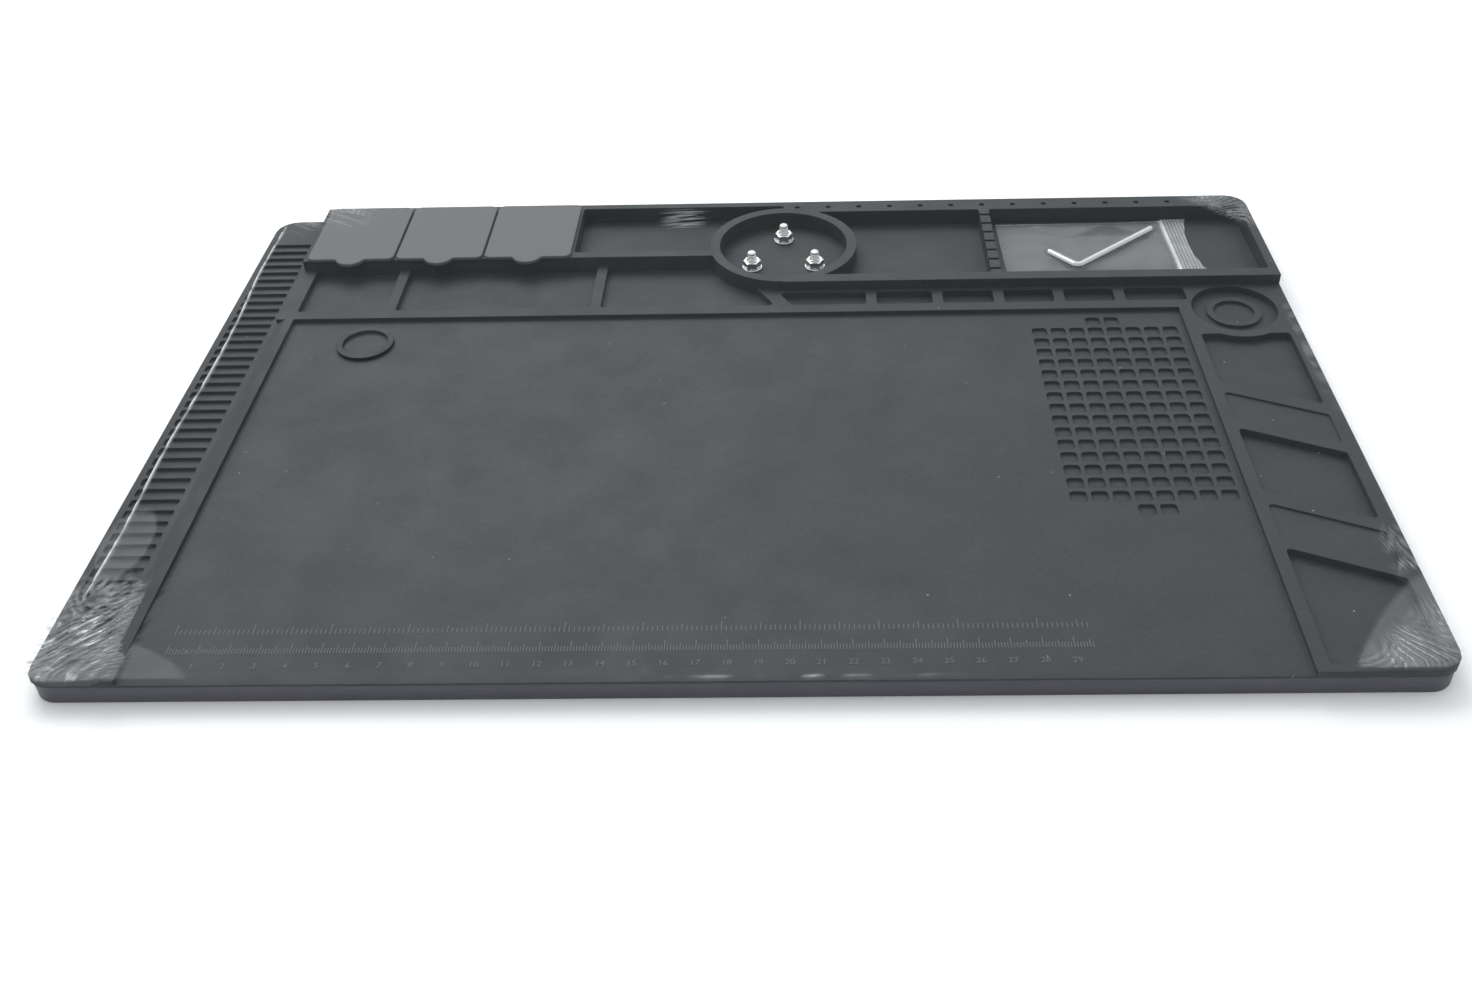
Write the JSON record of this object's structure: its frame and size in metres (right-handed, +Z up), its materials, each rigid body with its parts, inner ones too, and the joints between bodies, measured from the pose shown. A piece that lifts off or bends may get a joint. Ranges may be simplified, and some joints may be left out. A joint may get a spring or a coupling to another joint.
{
  "type": "microscope repair work mat",
  "caption": "Silicone repair mat on a metal base plate, with a round stand well, lidded boxes, parts trays, a tool comb and screw pockets.",
  "frame": {"origin": "middle of the footprint, on the underside of the base plate", "axes": "+X to the right along the long front edge, +Y to the back, +Z up"},
  "size_m": [0.45, 0.3, 0.0162],
  "materials": {
    "plate": "dark anodised, satin",
    "silicone": "matte",
    "bright_steel": "bright zinc plated",
    "clear_bag": "clear film"
  },
  "bodies": {
    "root": {"base_plate": "plate", "silicone_mat": "silicone", "box_lid_left": "silicone", "box_lid_middle": "silicone", "box_lid_right": "silicone", "stud_1": "bright_steel", "washer_1": "bright_steel", "hex_nut_1": "bright_steel", "stud_2": "bright_steel", "washer_2": "bright_steel", "hex_nut_2": "bright_steel", "stud_3": "bright_steel", "washer_3": "bright_steel", "hex_nut_3": "bright_steel", "zip_bag": "clear_bag", "hex_key": "bright_steel"}
  },
  "joints": []
}
